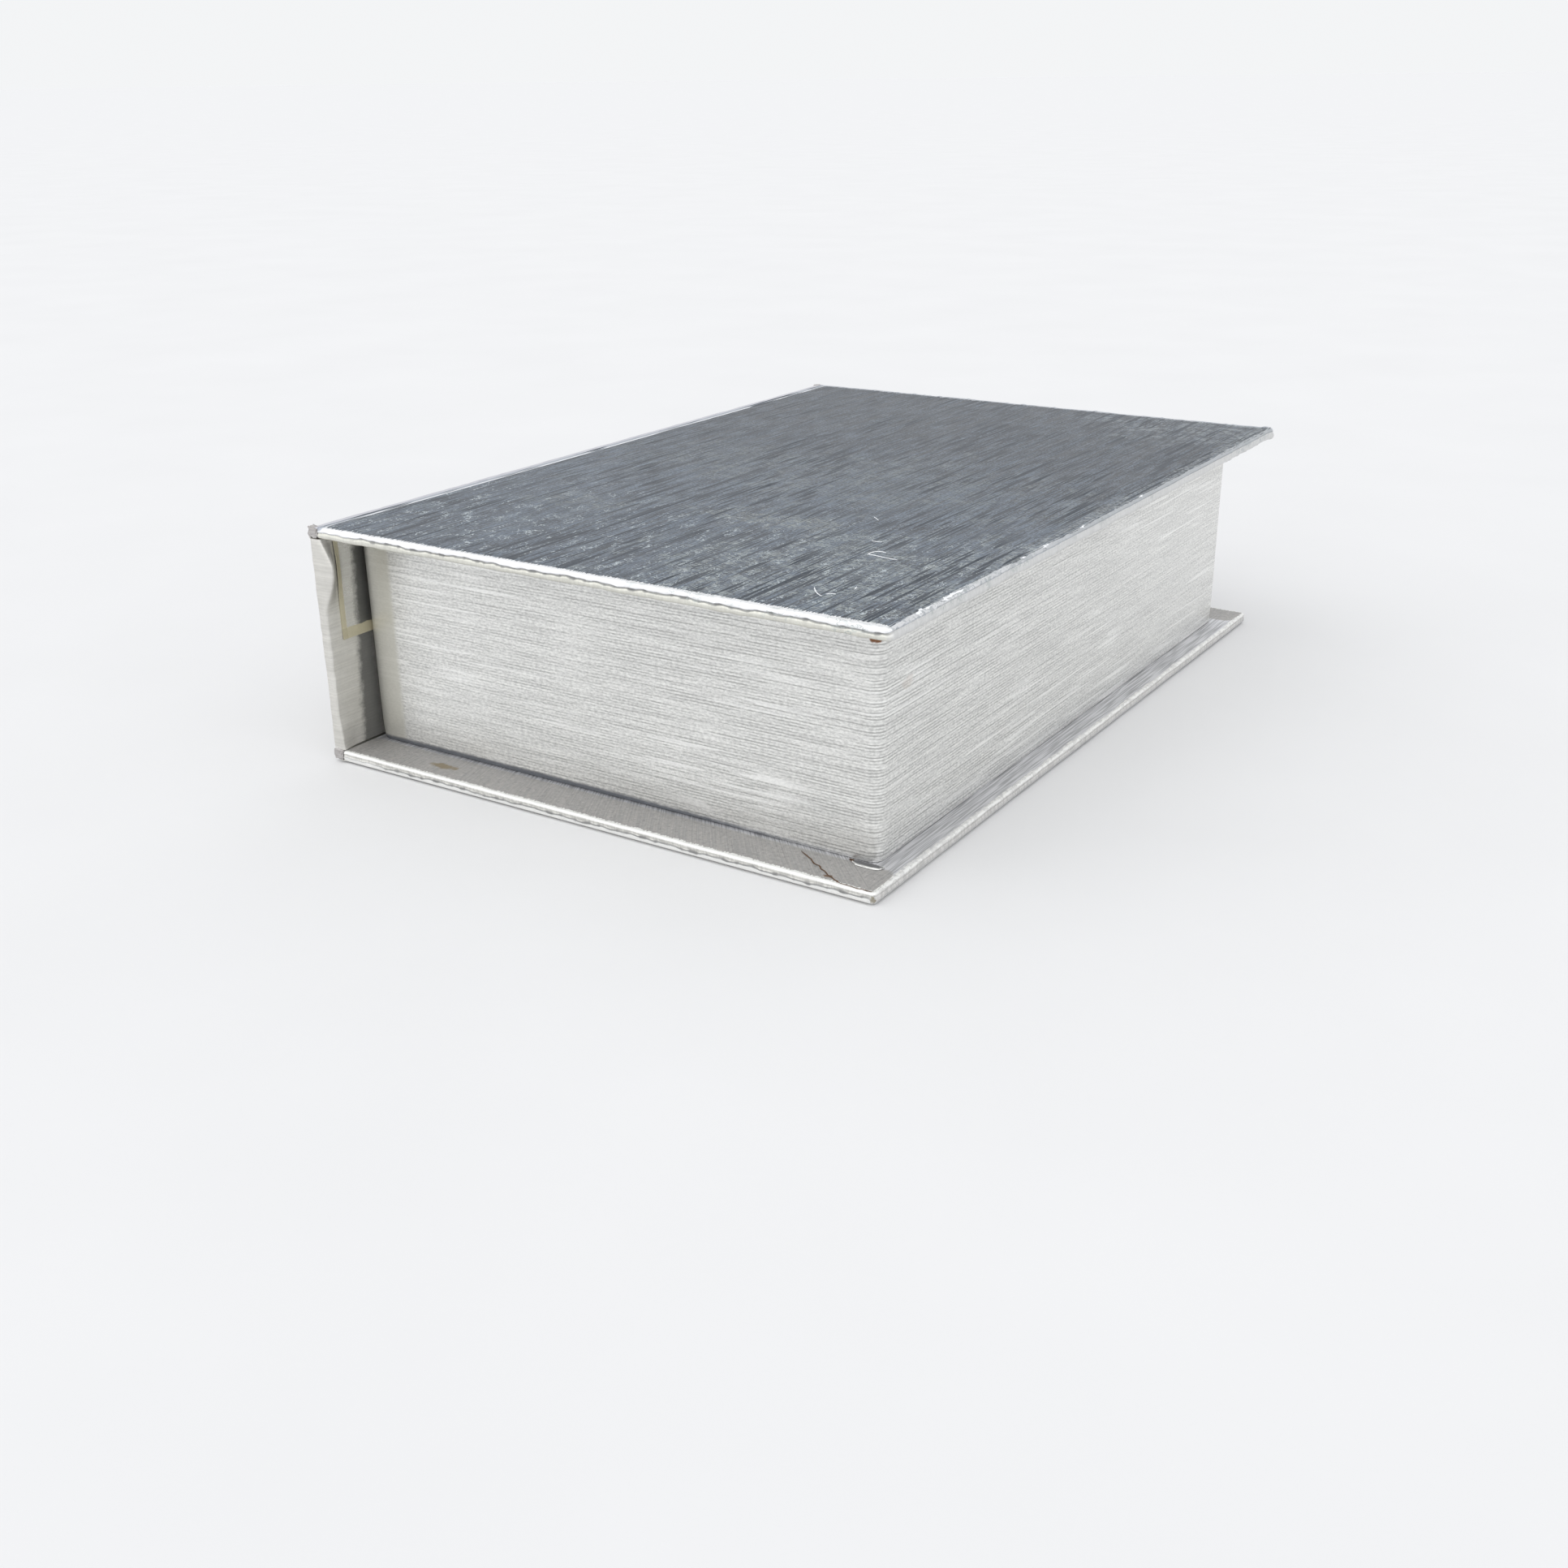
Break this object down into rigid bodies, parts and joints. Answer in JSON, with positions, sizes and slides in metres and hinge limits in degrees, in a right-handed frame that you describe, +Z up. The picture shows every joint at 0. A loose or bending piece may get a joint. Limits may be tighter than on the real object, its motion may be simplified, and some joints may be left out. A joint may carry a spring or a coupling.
{
  "type": "book box",
  "caption": "Book-shaped box: a lid, spine and base of board under silver foil paper fold round a rigid open tray fixed to the base, and hinge open to lie flat.",
  "frame": {"origin": "centre of the closed box's footprint, on the surface that it stands on", "axes": "+X from the spine to the fore-edge, +Y from the tail to the head, +Z up"},
  "size_m": [0.1064, 0.153, 0.04],
  "materials": {
    "greyboard": "matt grey-brown pulp board",
    "case_foil": "silver foil paper, fine line embossing along the spine, worn at the edges",
    "tray_foil": "silver foil paper, fine line embossing round the tray",
    "liner_foil": "silver foil paper with a cream cut edge",
    "stay_tape": "brown gummed paper tape"
  },
  "bodies": {
    "base": {"base_board": "greyboard", "base_cover": "case_foil", "tray_floor": "greyboard", "tray_head_wall": "greyboard", "tray_tail_wall": "greyboard", "tray_fore_wall": "greyboard", "tray_spine_wall": "greyboard", "stay_head_fore": "stay_tape", "stay_head_spine": "stay_tape", "stay_tail_fore": "stay_tape", "stay_tail_spine": "stay_tape", "tray_wrap": "tray_foil", "tray_wall_lining": "liner_foil", "tray_floor_lining": "liner_foil"},
    "spine": {"spine_board": "greyboard", "spine_cover": "case_foil", "spine_liner": "liner_foil"},
    "lid": {"lid_board": "greyboard", "lid_cover": "case_foil", "lid_liner": "liner_foil"}
  },
  "joints": [
    {"name": "spine_hinge", "type": "hinge", "parent": "base", "child": "spine", "pos_m": [-0.05282, 0, 0.00043], "axis": [0, -1, 0], "range_deg": [0, 90]},
    {"name": "lid_hinge", "type": "hinge", "parent": "spine", "child": "lid", "pos_m": [-0.05282, 0, 0.03957], "axis": [0, -1, 0], "range_deg": [0, 90]}
  ]
}
